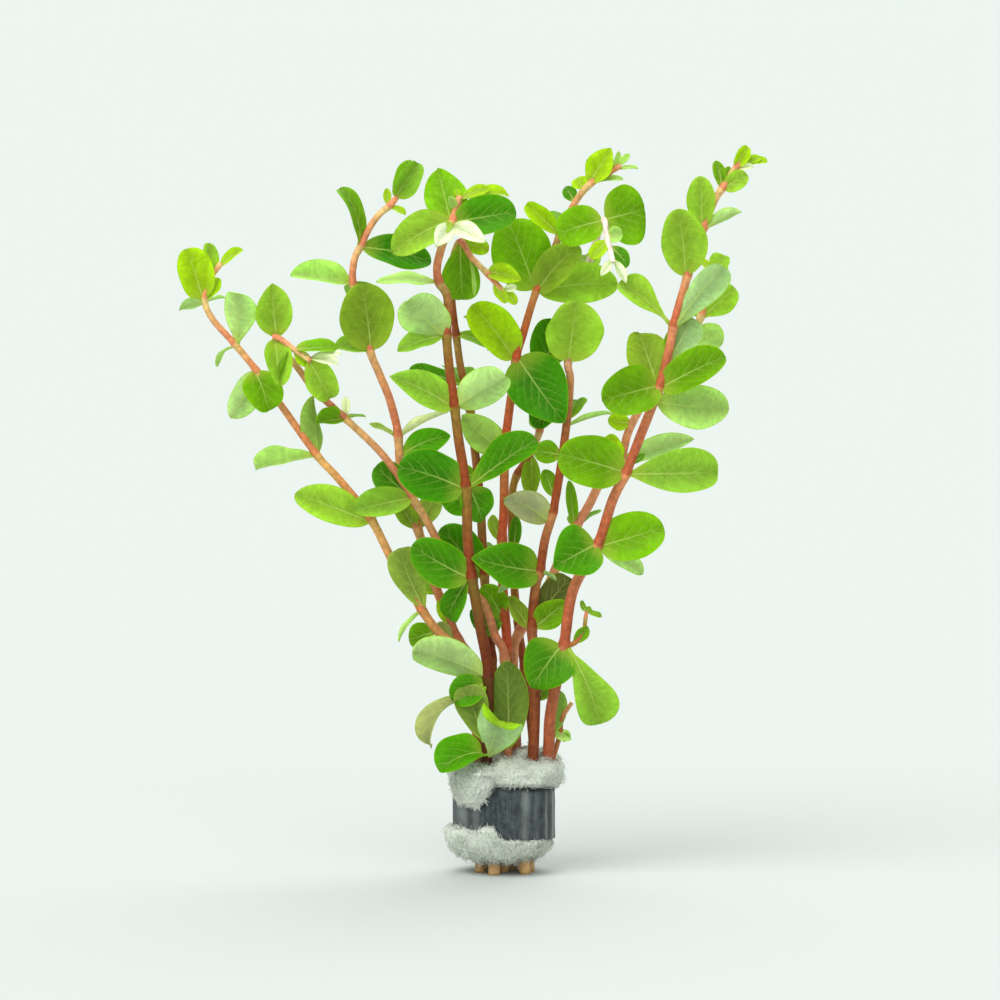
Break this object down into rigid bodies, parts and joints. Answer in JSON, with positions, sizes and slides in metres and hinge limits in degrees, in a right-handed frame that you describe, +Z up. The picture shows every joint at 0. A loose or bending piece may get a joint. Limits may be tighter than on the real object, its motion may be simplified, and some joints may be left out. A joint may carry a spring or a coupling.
{
  "type": "aquarium plant bunch",
  "caption": "Bunch of dwarf rotala: cut stems with round opposite leaves, the feet wrapped in white floss and held by a bent lead strip.",
  "frame": {"origin": "under the middle of the stem feet, at the level of the lowest cut end", "axes": "+Z up the bunch; -Y is the front, the side that a viewer sees; +X to the viewer's right"},
  "size_m": [0.1304, 0.0427, 0.1618],
  "materials": {
    "leaf": "satin",
    "stem": "satin",
    "floss": "matte",
    "lead": "satin"
  },
  "bodies": {
    "root": {"lead_strip": "lead", "leaf_a1": "leaf", "leaf_a11": "leaf", "leaf_a12": "leaf", "leaf_a13": "leaf", "leaf_a16": "leaf", "leaf_a17": "leaf", "leaf_a18": "leaf", "leaf_a2": "leaf", "leaf_a4": "leaf", "leaf_a6": "leaf", "leaf_a8": "leaf", "leaf_a9": "leaf", "leaf_b10": "leaf", "leaf_b11": "leaf", "leaf_b12": "leaf", "leaf_b13": "leaf", "leaf_b15": "leaf", "leaf_b16": "leaf", "leaf_b17": "leaf", "leaf_b3": "leaf", "leaf_b4": "leaf", "leaf_b5": "leaf", "leaf_b6": "leaf", "leaf_b8": "leaf", "leaf_b9": "leaf", "leaf_c11": "leaf", "leaf_c12": "leaf", "leaf_c13": "leaf", "leaf_c5": "leaf", "leaf_d10": "leaf", "leaf_d11": "leaf", "leaf_d4": "leaf", "leaf_d6": "leaf", "leaf_d7": "leaf", "leaf_d9": "leaf", "leaf_e1": "leaf", "leaf_e3": "leaf", "leaf_e5": "leaf", "leaf_e7": "leaf", "leaf_e8": "leaf", "leaf_f1": "leaf", "leaf_f2": "leaf", "leaf_f6": "leaf", "leaf_g11": "leaf", "leaf_g13": "leaf", "leaf_g16": "leaf", "leaf_h11": "leaf", "leaf_h2": "leaf", "stem_a": "stem", "stem_b": "stem", "stem_c": "stem", "stem_d": "stem", "stem_e": "stem", "stem_f": "stem", "stem_g": "stem", "stem_h": "stem", "stem_i": "stem", "stem_j": "stem", "wool_plug": "floss"}
  },
  "joints": []
}
